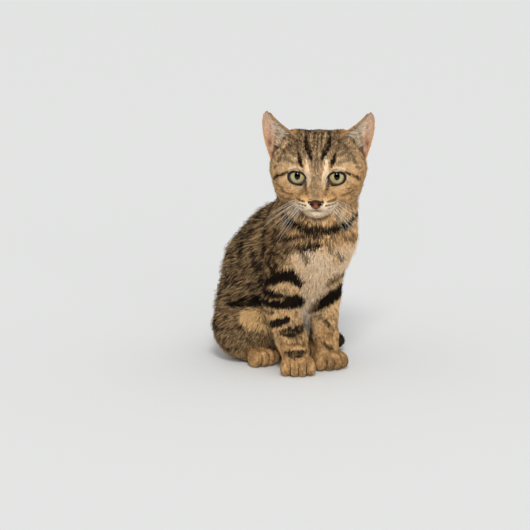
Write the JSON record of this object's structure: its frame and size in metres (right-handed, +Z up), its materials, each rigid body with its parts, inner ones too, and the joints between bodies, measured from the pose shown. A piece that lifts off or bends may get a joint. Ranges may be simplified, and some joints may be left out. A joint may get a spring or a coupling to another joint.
{
  "type": "sitting tabby kitten",
  "caption": "Life-size sitting shorthair tabby kitten, forepaws together, body turned, head facing front, ears up, tail curled round its side.",
  "frame": {"origin": "middle of the bounding box at the floor", "axes": "+Z up, the face looks along -Y, +X is the kitten's left; the body is turned 35 degrees, so the rump trails towards -X and +Y"},
  "size_m": [0.1378, 0.1682, 0.228],
  "materials": {
    "coat": "short dense tabby fur, brown-black stripes on golden tan",
    "paw_coat": "very short golden-tan fur",
    "ear_skin": "thin pink-tan skin with fine hair",
    "nose_leather": "bare brick-red skin, slightly moist",
    "eye": "wet, clear, khaki-green iris with a dark oval pupil"
  },
  "bodies": {
    "root": {"head": "coat", "nose": "nose_leather", "neck": "coat", "torso": "coat", "tail_root": "coat", "tail_middle": "coat", "tail_tip": "coat", "ear_left": "ear_skin", "ear_right": "ear_skin", "eye_left": "eye", "eye_right": "eye", "foreleg_left": "coat", "foreleg_right": "coat", "forepaw_left": "paw_coat", "forepaw_right": "paw_coat", "haunch_left": "coat", "haunch_right": "coat", "hind_foot_left": "paw_coat", "hind_foot_right": "paw_coat"}
  },
  "joints": []
}
